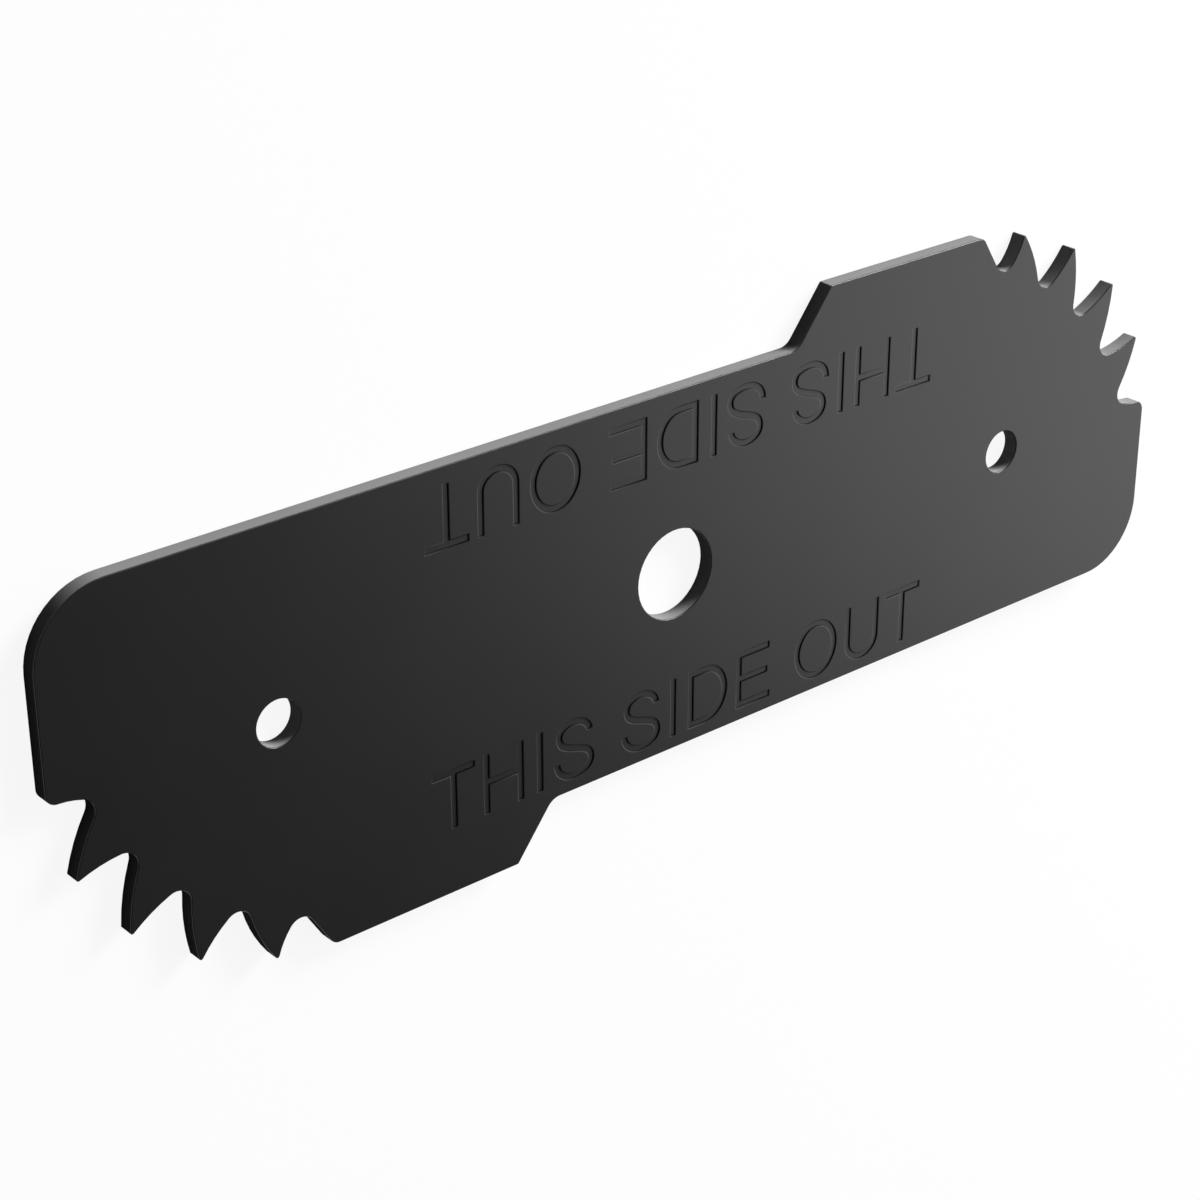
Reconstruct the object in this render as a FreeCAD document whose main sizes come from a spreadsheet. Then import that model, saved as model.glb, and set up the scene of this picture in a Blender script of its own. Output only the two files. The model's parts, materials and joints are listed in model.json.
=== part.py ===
import FreeCAD, Part

import math
import os

import Sketcher
from FreeCAD import Placement, Rotation, Vector

# Lawn edger blade: one flat steel plate, blanked and engraved in a single piece.
# Millimetres. X runs along the blade, Y across it, and Z up through its thickness.
# The origin is on the arbor axis, on the face that the blade lies on.
# The outline and the holes are the same after half a turn about Z.

os.makedirs("parts", exist_ok=True)
doc = FreeCAD.newDocument("edger_blade")

# Driving dimensions

driving = {
    # Plate: a narrow waist with an ear that stands out at each end
    "blade_length": 190.5,
    "waist_width": 52.6,
    "ear_reach": 34.03,
    "plate_thickness": 2.38,
    # Slanted step from the waist edge up to the ear
    "step_start": 21.36,
    "step_angle": 52.27,
    # Tooth tips, evenly spaced on a circle that runs past the end edge and under the ear edge
    "tooth_pitch": 18.0,
    "tip_circle_radius": 38.2,
    "tip_circle_overrun": 0.47,
    "tip_circle_drop": 0.33,
    "tip_middle_angle": 50.9,
    # Gullets, on a wider circle and at half the pitch
    "gullet_circle_radius": 59.75,
    "gullet_depth": 9.74,
    "gullet_centre_angle": 45.5,
    "gullet_middle_angle": 46.34,
    # Where the toothed stretch meets the two straight edges, from the centre of the tip circle
    "ear_corner_lead": 0.42,
    "end_corner_rise": 4.38,
    # The back of a tooth bulges, less on each next one, and its face is hollow
    "back_bulge": 0.79,
    "back_bulge_loss": 0.095,
    "face_hollow": 0.61,
    # Roundings of the outline
    "plain_corner_radius": 10.0,
    "step_root_radius": 2.5,
    "step_top_radius": 0.3,
    "run_out_radius": 1.6,
    "gullet_radius": 2.0,
    "tip_radius": 0.3,
    # Small slope along the thin edges of both faces and of the holes
    "edge_break": 0.15,
    # Holes
    "arbor_diameter": 12.87,
    "bolt_hole_diameter": 6.35,
    "bolt_hole_spacing": 127.0,
    # Legend, engraved twice, the second time after half a turn about a point of its own
    "legend_depth": 0.16,
    "legend_centre_along": 3.15,
    "legend_centre_across": -0.23,
    "legend_margin": 2.11,
    "cap_height": 8.8,
    "stroke_width": 1.12,
    "overshoot": 0.16,
    "straight_bearing": 1.0,
    "upright_bearing": 1.13,
    "round_bearing": 0.6,
    "arm_bearing": 0.25,
    "word_space": 3.5,
}
teeth = 4

sizes = doc.addObject("Spreadsheet::Sheet", "sizes")
for row, (alias, value) in enumerate(driving.items(), start=1):
    sizes.set(f"A{row}", alias)
    sizes.set(f"B{row}", str(value))
    sizes.setAlias(f"B{row}", alias)
doc.recompute()


def size(alias):
    return float(sizes.get(alias))


# Helpers for the document

near = 0.01


def origin_plane(body, role):
    return next(item for item in body.Origin.OriginFeatures if item.Role == role)


def new_sketch(body, name):
    sketch = body.newObject("Sketcher::SketchObject", name)
    sketch.AttachmentSupport = (origin_plane(body, "XY_Plane"), [""])
    sketch.MapMode = "FlatFace"
    return sketch


def drive(sketch, name, formula, *constraint):
    """Add a constraint, name it and bind it to the sheet."""
    index = sketch.addConstraint(Sketcher.Constraint(*constraint))
    sketch.renameConstraint(index, name)
    sketch.setExpression(f"Constraints.{name}", formula)


def place(sketch, name, along, across, edge, end):
    """Hold one end of an edge at two formulas, along and across the blade."""
    point = sketch.getPoint(edge, end)
    drive(sketch, f"{name}_along", along, "DistanceX", edge, end, point.x)
    drive(sketch, f"{name}_across", across, "DistanceY", edge, end, point.y)


def end_at(sketch, edge, point):
    """Which end of a sketch edge lies at the point: 1 is its start and 2 its finish."""
    return min((1, 2), key=lambda end: sketch.getPoint(edge, end).distanceToPoint(point))


def upright_edges(shape, points):
    """Names of the upright edges that stand on the points."""
    names = []
    for number, edge in enumerate(shape.Edges, start=1):
        foot = edge.Vertexes[0].Point
        head = edge.Vertexes[-1].Point
        upright = math.hypot(head.x - foot.x, head.y - foot.y) < near < abs(head.z - foot.z)
        if upright and any(math.hypot(foot.x - p.x, foot.y - p.y) < near for p in points):
            names.append(f"Edge{number}")
    return names


def flat_edges(shape, height):
    """Names of the edges that lie wholly at one height."""
    names = []
    for number, edge in enumerate(shape.Edges, start=1):
        box = edge.BoundBox
        if abs(box.ZMin - height) < near and abs(box.ZMax - height) < near:
            names.append(f"Edge{number}")
    return names


def half_turn(body, name, original, sketch):
    """Repeat a feature after half a turn about the sketch's own normal."""
    pattern = body.newObject("PartDesign::PolarPattern", name)
    pattern.Originals = [original]
    pattern.Axis = (sketch, ["N_Axis"])
    pattern.Angle = 360
    pattern.Occurrences = 2
    body.Tip = pattern
    doc.recompute()


def arc(start, end, rise):
    """Arc that stands off its chord by a rise, to the right of the way it runs when positive."""
    chord = end - start
    right = Vector(chord.y, -chord.x, 0).normalize()
    return Part.Arc(start, (start + end) / 2 + right * rise, end)


# Corners of the toothed stretch, as points and as formulas on the sheet

half_length_formula = "sizes.blade_length / 2"
half_waist_formula = "sizes.waist_width / 2"
tip_centre_formula = (
    f"{half_length_formula} + sizes.tip_circle_overrun - sizes.tip_circle_radius",
    "sizes.ear_reach - sizes.tip_circle_drop - sizes.tip_circle_radius",
)
gullet_offset_formula = "(sizes.tip_circle_radius - sizes.gullet_depth - sizes.gullet_circle_radius)"
gullet_centre_formula = (
    f"{tip_centre_formula[0]} + {gullet_offset_formula} * cos(sizes.gullet_centre_angle)",
    f"{tip_centre_formula[1]} + {gullet_offset_formula} * sin(sizes.gullet_centre_angle)",
)


def on_circle(centre, radius, angle):
    """Formulas of a point on a circle."""
    return (
        f"{centre[0]} + sizes.{radius} * cos({angle})",
        f"{centre[1]} + sizes.{radius} * sin({angle})",
    )


def tip_formula(index):
    angle = f"sizes.tip_middle_angle + {(teeth - 1) / 2 - index} * sizes.tooth_pitch"
    return on_circle(tip_centre_formula, "tip_circle_radius", angle)


def gullet_formula(index):
    angle = f"sizes.gullet_middle_angle + {teeth / 2 - index} * sizes.tooth_pitch / 2"
    return on_circle(gullet_centre_formula, "gullet_circle_radius", angle)


def radius_formula(start, end, rise):
    """Radius of the arc between two points, each a pair of formulas, with a given rise."""
    chord_squared = f"(({start[0]}) - ({end[0]}))^2 + (({start[1]}) - ({end[1]}))^2"
    return f"(({chord_squared}) / 4 + ({rise})^2) / (2 * ({rise}))"


def bulge_formula(index):
    return f"sizes.back_bulge - {index} * sizes.back_bulge_loss"


def value_of(formula):
    """What a formula is worth now."""
    return float(sizes.evalExpression(formula))


def point_at(formulas):
    return Vector(value_of(formulas[0]), value_of(formulas[1]), 0)


rise_formula = f"(sizes.ear_reach - {half_waist_formula})"
formulas = {
    "step_root": ("sizes.step_start", half_waist_formula),
    "step_top": (
        f"sizes.step_start + {rise_formula} / tan(sizes.step_angle)",
        "sizes.ear_reach",
    ),
    "ear_corner": (f"{tip_centre_formula[0]} - sizes.ear_corner_lead", "sizes.ear_reach"),
    "end_corner": (half_length_formula, f"{tip_centre_formula[1]} + sizes.end_corner_rise"),
    "plain_corner": (half_length_formula, f"-{half_waist_formula}"),
    "other_root": ("-sizes.step_start", f"-{half_waist_formula}"),
}
for index in range(teeth):
    formulas[f"tip_{index + 1}"] = tip_formula(index)
for index in range(teeth + 1):
    formulas[f"gullet_{index + 1}"] = gullet_formula(index)
corner = {name: point_at(pair) for name, pair in formulas.items()}

# Half of the outline, counter-clockwise: each edge's two corners, and what it stands off its chord

run = [
    ("other_root", "plain_corner", None),
    ("plain_corner", "end_corner", None),
    ("end_corner", f"gullet_{teeth + 1}", "-sizes.face_hollow"),
]
for number in range(teeth, 0, -1):
    run.append((f"gullet_{number + 1}", f"tip_{number}", bulge_formula(number - 1)))
    run.append((f"tip_{number}", f"gullet_{number}", "-sizes.face_hollow"))
run += [
    ("gullet_1", "ear_corner", None),
    ("ear_corner", "step_top", None),
    ("step_top", "step_root", None),
    ("step_root", "other_root", None),
]

body = doc.addObject("PartDesign::Body", "blade")
body.Label = "blade"

outline = new_sketch(body, "half_outline")
for first, second, rise in run:
    if rise is None:
        outline.addGeometry(Part.LineSegment(corner[first], corner[second]), False)
    else:
        outline.addGeometry(arc(corner[first], corner[second], value_of(rise)), False)
for edge, (first, second, rise) in enumerate(run):
    after = (edge + 1) % len(run)
    here = end_at(outline, edge, corner[second])
    there = end_at(outline, after, corner[second])
    outline.addConstraint(Sketcher.Constraint("Coincident", edge, here, after, there))
for edge, (first, second, rise) in enumerate(run):
    place(outline, second, *formulas[second], edge, end_at(outline, edge, corner[second]))
    if rise is not None:
        size_now = outline.Geometry[edge].Radius
        amount = rise.lstrip("-")
        radius = radius_formula(formulas[first], formulas[second], amount)
        drive(outline, f"radius_{edge}", radius, "Radius", edge, size_now)

half_plate = body.newObject("PartDesign::Pad", "half_plate")
half_plate.Profile = outline
half_plate.setExpression("Length", "sizes.plate_thickness")
doc.recompute()
half_turn(body, "whole_plate", half_plate, outline)


# Roundings of the outline, each at its corners and at their copies after half a turn


def with_copies(names):
    return [corner[name] * sign for name in names for sign in (1, -1)]


gullet_names = [f"gullet_{number}" for number in range(1, teeth + 2)]
tip_names = [f"tip_{number}" for number in range(1, teeth + 1)]
for name, names, radius in (
    ("plain_corners", ["plain_corner"], "plain_corner_radius"),
    ("step_roots", ["step_root"], "step_root_radius"),
    ("step_tops", ["step_top"], "step_top_radius"),
    ("gullets", gullet_names, "gullet_radius"),
    ("tips", tip_names, "tip_radius"),
    ("run_outs", ["ear_corner", "end_corner"], "run_out_radius"),
):
    sharp = body.Tip
    rounding = body.newObject("PartDesign::Fillet", name)
    rounding.Base = (sharp, upright_edges(sharp.Shape, with_copies(names)))
    rounding.setExpression("Radius", f"sizes.{radius}")
    doc.recompute()

# Arbor hole and the two bolt holes

holes = new_sketch(body, "holes")
bolt_hole_radius = size("bolt_hole_diameter") / 2
bolt_hole_along = size("bolt_hole_spacing") / 2
holes.addGeometry(Part.Circle(Vector(0, 0, 0), Vector(0, 0, 1), size("arbor_diameter") / 2), False)
for side in (-1, 1):
    centre = Vector(side * bolt_hole_along, 0, 0)
    holes.addGeometry(Part.Circle(centre, Vector(0, 0, 1), bolt_hole_radius), False)
holes.addConstraint(Sketcher.Constraint("Coincident", 0, 3, -1, 1))
holes.addConstraint(Sketcher.Constraint("Symmetric", 1, 3, 2, 3, -1, 1))
holes.addConstraint(Sketcher.Constraint("PointOnObject", 2, 3, -1))
holes.addConstraint(Sketcher.Constraint("Equal", 1, 2))
drive(holes, "arbor", "sizes.arbor_diameter", "Diameter", 0, size("arbor_diameter"))
drive(holes, "bolt_hole", "sizes.bolt_hole_diameter", "Diameter", 1, 2 * bolt_hole_radius)
drive(holes, "from_centre", "sizes.bolt_hole_spacing / 2", "DistanceX", 2, 3, bolt_hole_along)

drilled = body.newObject("PartDesign::Pocket", "drilled")
drilled.Profile = holes
drilled.Type = "ThroughAll"
drilled.Reversed = True
doc.recompute()

# The thin edges round both faces and round the holes are broken

thickness = size("plate_thickness")
broken_edges = body.newObject("PartDesign::Chamfer", "broken_edges")
broken_edges.Base = (
    drilled,
    flat_edges(drilled.Shape, 0) + flat_edges(drilled.Shape, thickness),
)
broken_edges.setExpression("Size", "sizes.edge_break")
doc.recompute()

# Legend: plain capitals drawn as strokes of one width, made of straight runs and tangent arcs
# A stroke is a list of nodes, each a point on its middle line and the heading there in degrees

cap = size("cap_height")
stroke = size("stroke_width")
over = size("overshoot")
half_stroke = stroke / 2


def heading_vector(heading):
    return Vector(math.cos(math.radians(heading)), math.sin(math.radians(heading)), 0)


def node(along, across, heading):
    return Vector(along, across, 0), heading


def meeting_node(first, second):
    """Node at which two arcs meet that leave the first node and reach the second."""
    (start, start_heading), (end, end_heading) = first, second
    leave = heading_vector(start_heading)
    arrive = heading_vector(end_heading)
    span = end - start
    square = 2 * (1 - leave.dot(arrive))
    linear = 2 * span.dot(leave + arrive)
    reach = (math.sqrt(linear**2 + 4 * square * span.dot(span)) - linear) / (2 * square)
    before = start + leave * reach
    after = end - arrive * reach
    middle = (start_heading + end_heading) / 2
    along = after - before
    angle = math.degrees(math.atan2(along.y, along.x))
    turns = round((middle - angle) / 360)
    return (before + after) / 2, angle + 360 * turns


def smooth(nodes):
    """The nodes with a meeting node wherever the heading changes."""
    result = [nodes[0]]
    for first, second in zip(nodes, nodes[1:]):
        if first[1] != second[1]:
            result.append(meeting_node(first, second))
        result.append(second)
    return result


def side(nodes, offset):
    """Edges along the nodes, moved to the left by the offset."""
    moved = [(point + heading_vector(heading + 90) * offset, heading) for point, heading in nodes]
    edges = []
    for (start, start_heading), (end, end_heading) in zip(moved, moved[1:]):
        turn = math.radians(end_heading - start_heading)
        if turn:
            rise = start.distanceToPoint(end) / 2 * math.tan(turn / 4)
            edges.append(arc(start, end, rise))
        else:
            edges.append(Part.LineSegment(start, end))
    return edges


def loop(*corners):
    """Closed run of straight edges."""
    points = [Vector(along, across, 0) for along, across in corners]
    return [Part.LineSegment(a, b) for a, b in zip(points, points[1:] + points[:1])]


def stroke_outline(nodes):
    """Both sides of an open stroke and its two square ends."""
    nodes = smooth(nodes)
    left = side(nodes, half_stroke)
    right = side(nodes, -half_stroke)
    first_cap = Part.LineSegment(left[0].StartPoint, right[0].StartPoint)
    last_cap = Part.LineSegment(left[-1].EndPoint, right[-1].EndPoint)
    return left + right + [first_cap, last_cap]


def letter_i(width):
    return loop((0, 0), (width, 0), (width, cap), (0, cap))


def letter_t(width):
    left = width / 2 - half_stroke
    right = width / 2 + half_stroke
    under = cap - stroke
    return loop(
        (left, 0), (right, 0), (right, under), (width, under),
        (width, cap), (0, cap), (0, under), (left, under),
    )


def letter_h(width):
    bar_middle = 0.53 * cap
    low = bar_middle - half_stroke
    high = bar_middle + half_stroke
    inner = width - stroke
    return loop(
        (0, 0), (stroke, 0), (stroke, low), (inner, low), (inner, 0), (width, 0),
        (width, cap), (inner, cap), (inner, high), (stroke, high), (stroke, cap), (0, cap),
    )


def letter_e(width):
    bar_middle = 0.515 * cap
    low = bar_middle - half_stroke
    high = bar_middle + half_stroke
    top_arm = 0.97 * width
    middle_arm = 0.92 * width
    return loop(
        (0, 0), (width, 0), (width, stroke), (stroke, stroke), (stroke, low),
        (middle_arm, low), (middle_arm, high), (stroke, high), (stroke, cap - stroke),
        (top_arm, cap - stroke), (top_arm, cap), (0, cap),
    )


def letter_d(width):
    bowl_start = 0.45 * width
    bowl = smooth([
        node(bowl_start, half_stroke, 0),
        node(width - half_stroke, cap / 2, 90),
        node(bowl_start, cap - half_stroke, 180),
    ])
    edges = []
    for offset, back in ((-half_stroke, 0), (half_stroke, stroke)):
        curve = side(bowl, offset)
        foot, head = curve[0].StartPoint, curve[-1].EndPoint
        low_corner = Vector(back, foot.y, 0)
        high_corner = Vector(back, head.y, 0)
        edges += curve
        edges.append(Part.LineSegment(head, high_corner))
        edges.append(Part.LineSegment(high_corner, low_corner))
        edges.append(Part.LineSegment(low_corner, foot))
    return edges


def letter_o(width):
    ring = smooth([
        node(width / 2, half_stroke - over, 0),
        node(width - half_stroke, cap / 2, 90),
        node(width / 2, cap + over - half_stroke, 180),
        node(half_stroke, cap / 2, 270),
        node(width / 2, half_stroke - over, 360),
    ])
    return side(ring, -half_stroke) + side(ring, half_stroke)


def letter_u(width):
    bowl_top = 0.34 * cap
    return stroke_outline([
        node(half_stroke, cap, 270),
        node(half_stroke, bowl_top, 270),
        node(width / 2, half_stroke - over, 360),
        node(width - half_stroke, bowl_top, 450),
        node(width - half_stroke, cap, 450),
    ])


def letter_s(width):
    upper_inset = 0.06 * width
    upper_end = 0.724 * cap
    upper_bowl = 0.747 * cap
    spine_middle = 0.51 * cap
    lower_bowl = 0.25 * cap
    lower_end = 0.326 * cap
    return stroke_outline([
        node(width - half_stroke - upper_inset / 2, upper_end, 100),
        node(width / 2, cap + over - half_stroke, 180),
        node(half_stroke + upper_inset, upper_bowl, 270),
        node(width / 2, spine_middle, 345),
        node(width - half_stroke, lower_bowl, 270),
        node(width / 2, half_stroke - over, 180),
        node(half_stroke, lower_end, 90),
    ])


straight = size("straight_bearing")
upright = size("upright_bearing")
bowed = size("round_bearing")
arm = size("arm_bearing")

# Each letter's drawing, its width as a share of the cap height, and the room on its two sides
letters = {
    "T": (letter_t, 0.80, arm, arm),
    "H": (letter_h, 0.764, straight, straight),
    "I": (letter_i, stroke / cap, upright, upright),
    "S": (letter_s, 0.795, bowed, bowed),
    "D": (letter_d, 0.83, straight, bowed),
    "E": (letter_e, 0.739, straight, arm + stroke / 4),
    "O": (letter_o, 0.949, bowed, bowed),
    "U": (letter_u, 0.764, straight, straight),
}


def write(text, baseline):
    """Edges of a line of text, centred on the Y axis."""
    edges = []
    pen = 0
    for letter in text:
        if letter == " ":
            pen += size("word_space")
            continue
        draw, share, before, after = letters[letter]
        for edge in draw(share * cap):
            edge.translate(Vector(pen + before, baseline, 0))
            edges.append(edge)
        pen += before + share * cap + after
    for edge in edges:
        edge.translate(Vector(-pen / 2, 0, 0))
    return edges


legend = new_sketch(body, "legend")
legend.setExpression("AttachmentOffset.Base.x", "sizes.legend_centre_along")
legend.setExpression("AttachmentOffset.Base.y", "sizes.legend_centre_across")
legend.setExpression("AttachmentOffset.Base.z", "sizes.plate_thickness")
baseline = size("legend_margin") - size("waist_width") / 2
legend.addGeometry(write("THIS SIDE OUT", baseline), False)

engraved = body.newObject("PartDesign::Pocket", "engraved")
engraved.Profile = legend
engraved.setExpression("Length", "sizes.legend_depth")
doc.recompute()
half_turn(body, "engraved_twice", engraved, legend)

# Nothing is written unless the whole document is sound

doc.recompute()
for item in doc.Objects:
    if "Invalid" in item.State or "Error" in item.State:
        raise RuntimeError(f"{item.Name} failed: {item.State}")
for item in doc.findObjects("PartDesign::Body"):
    shape = item.Shape
    if shape.isNull() or not shape.isValid() or len(shape.Solids) != 1:
        raise RuntimeError(f"{item.Label} is not one sound solid")
    shape.exportStep(f"parts/{item.Label}.step")
    print(f"{item.Label}: {len(shape.Faces)} faces, {shape.Volume:.1f} cubic millimetres")
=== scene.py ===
import json
from math import cos, pi, radians, sin

import bpy
from mathutils import Matrix, Vector

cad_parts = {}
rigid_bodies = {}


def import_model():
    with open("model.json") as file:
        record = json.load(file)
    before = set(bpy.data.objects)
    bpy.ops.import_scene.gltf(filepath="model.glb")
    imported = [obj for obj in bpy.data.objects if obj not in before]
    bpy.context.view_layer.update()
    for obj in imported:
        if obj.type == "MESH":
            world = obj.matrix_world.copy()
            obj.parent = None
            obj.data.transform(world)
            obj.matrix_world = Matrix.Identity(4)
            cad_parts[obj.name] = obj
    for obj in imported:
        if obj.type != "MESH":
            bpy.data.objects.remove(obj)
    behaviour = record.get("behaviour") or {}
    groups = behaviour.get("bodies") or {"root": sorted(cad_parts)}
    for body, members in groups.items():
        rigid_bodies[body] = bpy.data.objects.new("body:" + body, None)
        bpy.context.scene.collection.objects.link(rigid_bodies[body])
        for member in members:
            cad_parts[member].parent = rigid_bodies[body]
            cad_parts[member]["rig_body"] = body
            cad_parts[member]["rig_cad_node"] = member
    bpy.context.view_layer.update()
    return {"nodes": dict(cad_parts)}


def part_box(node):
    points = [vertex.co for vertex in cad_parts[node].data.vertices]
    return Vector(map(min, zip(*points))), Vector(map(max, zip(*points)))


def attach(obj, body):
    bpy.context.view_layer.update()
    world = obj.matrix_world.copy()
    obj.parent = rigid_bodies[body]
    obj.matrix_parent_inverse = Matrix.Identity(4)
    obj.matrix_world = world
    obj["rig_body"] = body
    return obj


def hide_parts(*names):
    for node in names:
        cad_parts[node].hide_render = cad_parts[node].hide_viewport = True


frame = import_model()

# Looks of the lawn edger blade. Metres. The blade lies on the floor with its engraved face up.
# X runs along the blade, Y across it, and the arbor hole is centred on the Z axis.

low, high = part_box("blade")
mm = 0.001
tiny = 0.01 * mm

# The engraving: a shallow slope inside its outline, then an upright wall down to its floor
legend_depth = 0.16 * mm
slope_width = 0.12 * mm
slope_drop = 0.03 * mm

# How far a wall's normal may point up, and how far a level face's has to
wall_rise = 0.1
level_rise = 0.9

# Every material of the blade, the black coat and the painted sheen and shade alike, has the same patches
# and the same orange peel
patch_scale = 60.0
patch_tone = 0.1
patch_roughness = 0.04
peel_scale = 2500.0
peel_strength = 0.05
peel_height = 0.02 * mm


# Shader graphs, written as expressions on sockets


class Socket:
    """A node's output that can be used in arithmetic."""

    def __init__(self, graph, output):
        self.graph = graph
        self.output = output

    def math(self, operation, first, second):
        return self.graph.node("ShaderNodeMath", {"operation": operation}, {0: first, 1: second})

    def __add__(self, other):
        return self.math("ADD", self, other)

    __radd__ = __add__

    def __sub__(self, other):
        return self.math("SUBTRACT", self, other)

    def __rsub__(self, other):
        return self.math("SUBTRACT", other, self)

    def __mul__(self, other):
        return self.math("MULTIPLY", self, other)

    __rmul__ = __mul__


class Graph:
    """A material's or the world's node tree, emptied and given its output node."""

    def __init__(self, owner, output_kind="ShaderNodeOutputMaterial"):
        owner.use_nodes = True
        self.tree = owner.node_tree
        self.tree.nodes.clear()
        self.end = self.tree.nodes.new(output_kind)

    def node(self, kind, settings=None, inputs=None, output=0):
        """Any node: its type, its settings, its sockets' values or links, and the output wanted."""
        made = self.tree.nodes.new(kind)
        for name, value in (settings or {}).items():
            setattr(made, name, value)
        for name, value in (inputs or {}).items():
            if isinstance(value, Socket):
                self.tree.links.new(value.output, made.inputs[name])
            else:
                made.inputs[name].default_value = value
        return Socket(self, made.outputs[output])

    def surface(self, shader):
        self.tree.links.new(shader.output, self.end.inputs["Surface"])


def grey(level):
    return (level, level, level, 1.0)


# Materials


def coat_or_painted_tone(name, tone, roughness, specular):
    """A black coat, or a painted sheen or shade in grey or black, with a fine orange peel, and patches a
    little duller or sharper.
    """
    material = bpy.data.materials.new(name)
    graph = Graph(material)
    place = graph.node("ShaderNodeTexCoord", output="Object")
    patches = graph.node(
        "ShaderNodeTexNoise",
        {},
        {"Vector": place, "Scale": patch_scale, "Detail": 3.0},
        "Fac",
    )
    peel = graph.node(
        "ShaderNodeTexNoise",
        {},
        {"Vector": place, "Scale": peel_scale, "Detail": 2.0},
        "Fac",
    )
    darker = grey((1 - patch_tone) * tone)
    lighter = grey((1 + patch_tone) * tone)
    shade = graph.node(
        "ShaderNodeMix",
        {"data_type": "RGBA"},
        {"Factor": patches, "A": darker, "B": lighter},
        "Result",
    )
    relief = graph.node(
        "ShaderNodeBump",
        {},
        {"Height": peel, "Strength": peel_strength, "Distance": peel_height},
    )
    graph.surface(graph.node(
        "ShaderNodeBsdfPrincipled",
        {},
        {
            "Base Color": shade,
            "Roughness": roughness + patch_roughness * (patches - 0.5),
            "Specular IOR Level": specular,
            "Normal": relief,
        },
    ))
    return material


def background_rays(graph):
    """1 for a ray that shows the background: seen, mirrored or passed through glass."""
    seen = graph.node("ShaderNodeLightPath", output="Is Camera Ray")
    mirrored = graph.node("ShaderNodeLightPath", output="Is Glossy Ray")
    through = graph.node("ShaderNodeLightPath", output="Is Transmission Ray")
    return seen + mirrored + through


def floor_material():
    """Seen as plain white, with the blade's shadow kept faint."""
    material = bpy.data.materials.new("white_floor")
    graph = Graph(material)
    plain_white = 0.91
    lit_tone = 0.09
    strength = background_rays(graph) * plain_white
    white = graph.node("ShaderNodeEmission", {}, {"Color": grey(1.0), "Strength": strength})
    lit = graph.node("ShaderNodeBsdfDiffuse", {}, {"Color": grey(lit_tone)})
    graph.surface(graph.node("ShaderNodeAddShader", {}, {0: white, 1: lit}))
    return material


# The blade


def select_only(piece):
    bpy.ops.object.select_all(action="DESELECT")
    piece.select_set(True)
    bpy.context.view_layer.objects.active = piece


def clean_copy():
    """A copy of the CAD blade with its points joined and its flat faces whole."""
    join_distance = 0.001 * mm
    flat_within = radians(0.5)
    select_only(frame["nodes"]["blade"])
    bpy.ops.object.duplicate()
    piece = bpy.context.view_layer.objects.active
    piece.name = "coated_blade"
    piece.parent = None
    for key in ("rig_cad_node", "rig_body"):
        del piece[key]
    piece.matrix_world = Matrix.Identity(4)

    bpy.ops.object.mode_set(mode="EDIT")
    bpy.ops.mesh.select_all(action="SELECT")
    bpy.ops.mesh.remove_doubles(threshold=join_distance)
    bpy.ops.mesh.dissolve_limited(angle_limit=flat_within)
    bpy.ops.object.mode_set(mode="OBJECT")
    bpy.ops.mesh.customdata_custom_splitnormals_clear()
    return piece


def is_upright(face):
    return abs(face.normal.z) < wall_rise


def lowest(mesh, face):
    return min(mesh.vertices[index].co.z for index in face.vertices)


def select_faces(mesh, chosen):
    """Leaves the blade in edit mode with only these faces selected."""
    bpy.ops.object.mode_set(mode="EDIT")
    bpy.ops.mesh.select_mode(type="FACE")
    bpy.ops.mesh.select_all(action="DESELECT")
    bpy.ops.object.mode_set(mode="OBJECT")
    for index in chosen:
        mesh.polygons[index].select = True
    bpy.ops.object.mode_set(mode="EDIT")


def slope_engraving(piece):
    """Turns the engraving's walls into shallow slopes, and sinks its floors again from their rims."""
    mesh = piece.data
    floor_level = high.z - legend_depth
    walls = [
        face for face in mesh.polygons
        if is_upright(face) and lowest(mesh, face) > floor_level - tiny
    ]
    floors = [
        face.index for face in mesh.polygons
        if face.normal.z > level_rise and abs(lowest(mesh, face) - floor_level) < tiny
    ]

    # The walls that meet at each low corner: it moves in from both of them by the slope's width
    inward = {}
    for face in walls:
        for index in face.vertices:
            if mesh.vertices[index].co.z < floor_level + tiny:
                inward.setdefault(index, []).append(face.normal.copy())
    for index, normals in inward.items():
        first = normals[0]
        second = min(normals, key=first.dot)
        point = mesh.vertices[index].co
        point += (first + second) / (1 + first.dot(second)) * slope_width
        point.z = high.z - slope_drop

    select_faces(mesh, floors)
    bpy.ops.mesh.extrude_region_move(
        TRANSFORM_OT_translate={"value": (0, 0, slope_drop - legend_depth)},
    )
    bpy.ops.mesh.region_to_loop()
    bpy.ops.mesh.mark_sharp()
    bpy.ops.object.mode_set(mode="OBJECT")


def keep_slopes_crisp(piece):
    """Marks the edges round the engraving's slopes, so that smooth shading stops there."""
    mesh = piece.data
    slopes = [
        face.index for face in mesh.polygons
        if abs(lowest(mesh, face) - (high.z - slope_drop)) < tiny and not is_upright(face)
    ]
    select_faces(mesh, slopes)
    bpy.ops.mesh.region_to_loop()
    bpy.ops.mesh.mark_sharp()
    bpy.ops.object.mode_set(mode="OBJECT")


def shade(piece):
    """Smooth shading in which the flat faces lead, so that the broken edges look rounded."""
    bpy.ops.object.shade_smooth()
    weighted = piece.modifiers.new("flat_faces_lead", "WEIGHTED_NORMAL")
    weighted.weight = 100
    weighted.keep_sharp = True
    bpy.ops.object.modifier_apply(modifier=weighted.name)


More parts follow.
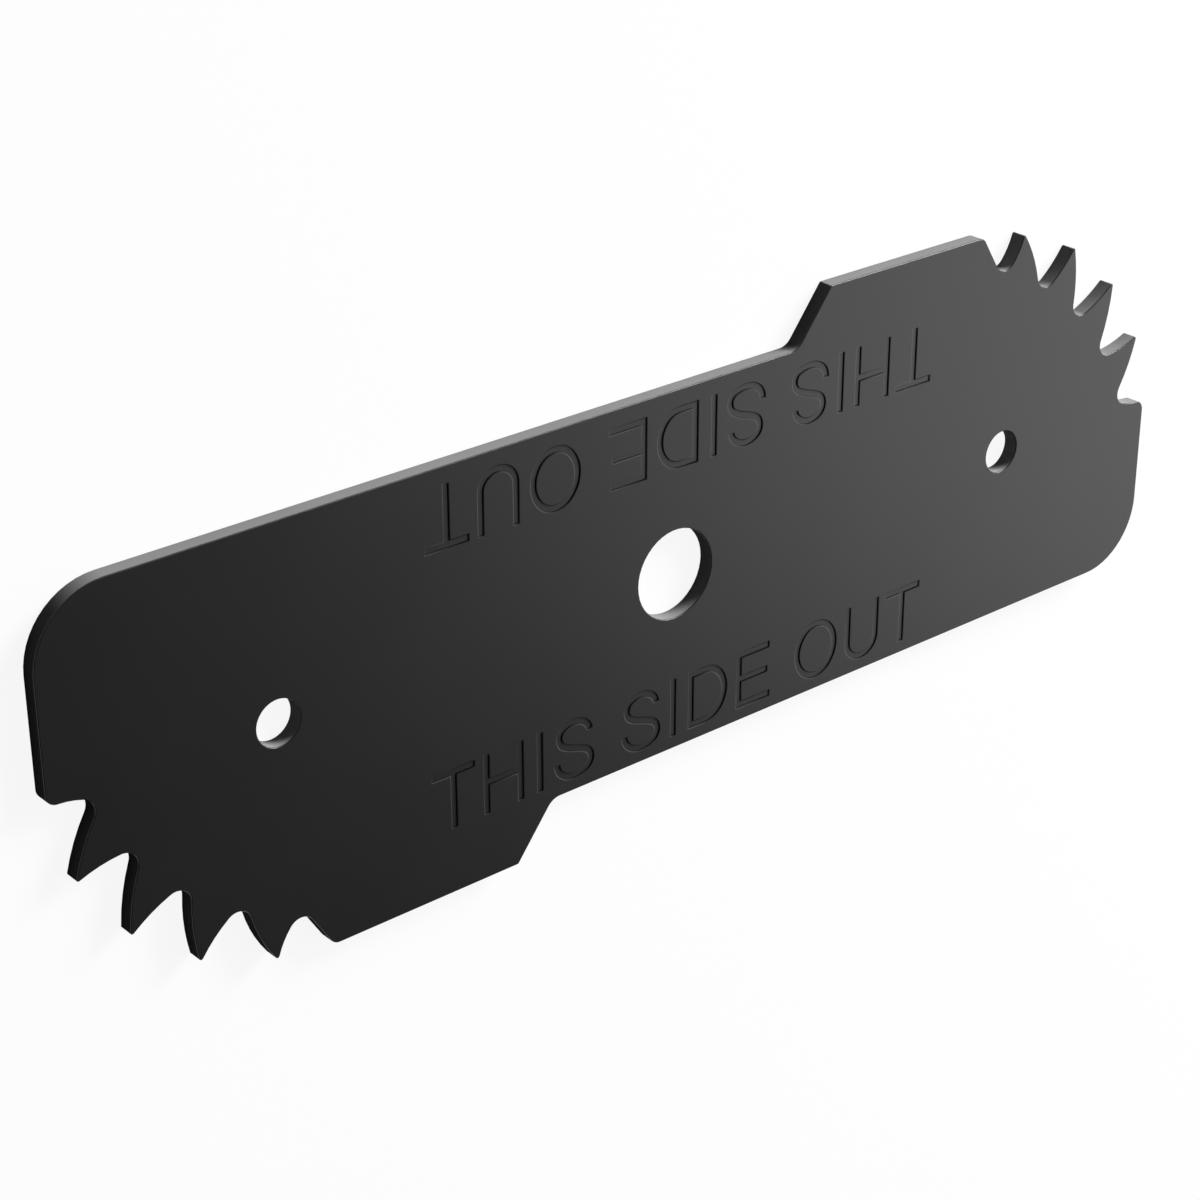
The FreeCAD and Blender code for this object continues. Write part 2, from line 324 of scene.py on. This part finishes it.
def paint_blade(piece):
    """Satin black on the faces; on the cut walls a grey painted sheen in place of the black coat's sheen;
    on the engraved walls a darker, unreflecting painted shade.
    """
    blade_materials = [
        coat_or_painted_tone("black_coating", tone=0.011, roughness=0.35, specular=0.5),
        # Painted sheen: the cut walls get a grey tone in place of the black coat's sheen, so the lit ones
        # look light grey.
        coat_or_painted_tone("cut_wall_painted_sheen", tone=0.27, roughness=0.7, specular=0.0),
        # Painted shade: the engraved walls get a darker black without reflection, so they show as dark
        # lines.
        coat_or_painted_tone("engraved_wall_painted_shade", tone=0.008, roughness=0.8, specular=0.0),
    ]
    black, cut_wall, engraved_wall = range(len(blade_materials))
    mesh = piece.data
    mesh.materials.clear()
    for blade_material in blade_materials:
        mesh.materials.append(blade_material)
    middle = (low.z + high.z) / 2
    # Level faces get the black coat; walls below the middle are the cut walls, with the painted sheen;
    # walls above it are the engraved walls, with the painted shade.
    for face in mesh.polygons:
        if not is_upright(face):
            face.material_index = black
        elif lowest(mesh, face) < middle:
            face.material_index = cut_wall
        else:
            face.material_index = engraved_wall


blade = clean_copy()
slope_engraving(blade)
keep_slopes_crisp(blade)
shade(blade)
paint_blade(blade)
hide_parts("blade")
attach(blade, "root")


# Floor, light and camera


def floor():
    """A wide plane, a hair below the blade so that the two don't share a face."""
    floor_size = 6.0
    bpy.ops.object.select_all(action="DESELECT")
    bpy.ops.mesh.primitive_plane_add(size=floor_size, location=(0, 0, low.z - tiny))
    plane = bpy.context.view_layer.objects.active
    plane.name = "floor"
    plane.data.materials.append(floor_material())


def direction(azimuth, elevation):
    """Unit vector: azimuth in degrees from +X towards +Y, elevation above the floor."""
    level = cos(radians(elevation))
    return Vector((
        level * cos(radians(azimuth)),
        level * sin(radians(azimuth)),
        sin(radians(elevation)),
    ))


def softbox(name, azimuth, elevation, distance, width, height, brightness):
    """Rectangular lamp that faces the blade. Brightness 1 is as bright as a white wall in full light."""
    lamp = bpy.data.lights.new(name, "AREA")
    lamp.shape = "RECTANGLE"
    lamp.size = width
    lamp.size_y = height
    lamp.energy = brightness * pi * width * height
    holder = bpy.data.objects.new(name, lamp)
    bpy.context.scene.collection.objects.link(holder)
    holder.location = direction(azimuth, elevation) * distance
    holder.rotation_euler = holder.location.to_track_quat("Z", "Y").to_euler()
    holder.visible_camera = False


def surroundings():
    """Dim grey room, darker towards -X. Near the horizon it is seen and mirrored white, as the floor is."""
    room_light = 0.05
    light_towards_x = 0.04
    horizon_white = 0.86
    white_up_to = 0.1
    gone_above = 0.25
    world = bpy.data.worlds.new("room")
    bpy.context.scene.world = world
    graph = Graph(world, "ShaderNodeOutputWorld")
    place = graph.node("ShaderNodeTexCoord", output="Generated")
    along = graph.node("ShaderNodeSeparateXYZ", {}, {"Vector": place}, "X")
    height = graph.node("ShaderNodeSeparateXYZ", {}, {"Vector": place}, "Z")
    backdrop = graph.node(
        "ShaderNodeMapRange",
        {},
        {
            "Value": height,
            "From Min": white_up_to,
            "From Max": gone_above,
            "To Min": horizon_white,
            "To Max": 0.0,
        },
    )
    strength = room_light + light_towards_x * along + background_rays(graph) * backdrop
    graph.surface(graph.node("ShaderNodeBackground", {}, {"Color": grey(1.0), "Strength": strength}))


def camera():
    """The photograph's viewpoint: a long lens over the -X end, turned with the blade's slant."""
    eye = Vector((-226.623, 162.218, 254.689)) * mm
    sight_line = Vector((0.58008, -0.43974, -0.68566)).normalized()
    picture_right = Vector((0.76266, -0.00248, 0.64680)).normalized()
    picture_up = picture_right.cross(sight_line)
    data = bpy.data.cameras.new("camera")
    data.lens = 85
    data.sensor_width = 36
    data.clip_start = 0.01
    holder = bpy.data.objects.new("camera", data)
    bpy.context.scene.collection.objects.link(holder)
    turn = Matrix((picture_right, picture_up, -sight_line)).transposed()
    holder.matrix_world = Matrix.Translation(eye) @ turn.to_4x4()
    bpy.context.scene.camera = holder


floor()
surroundings()
softbox("face_light", azimuth=0, elevation=31, distance=0.9, width=1.0, height=0.7, brightness=1.72)
softbox("edge_light", azimuth=36, elevation=20, distance=1.2, width=0.5, height=0.4, brightness=45.0)
camera()
bpy.context.scene.view_settings.view_transform = "Standard"
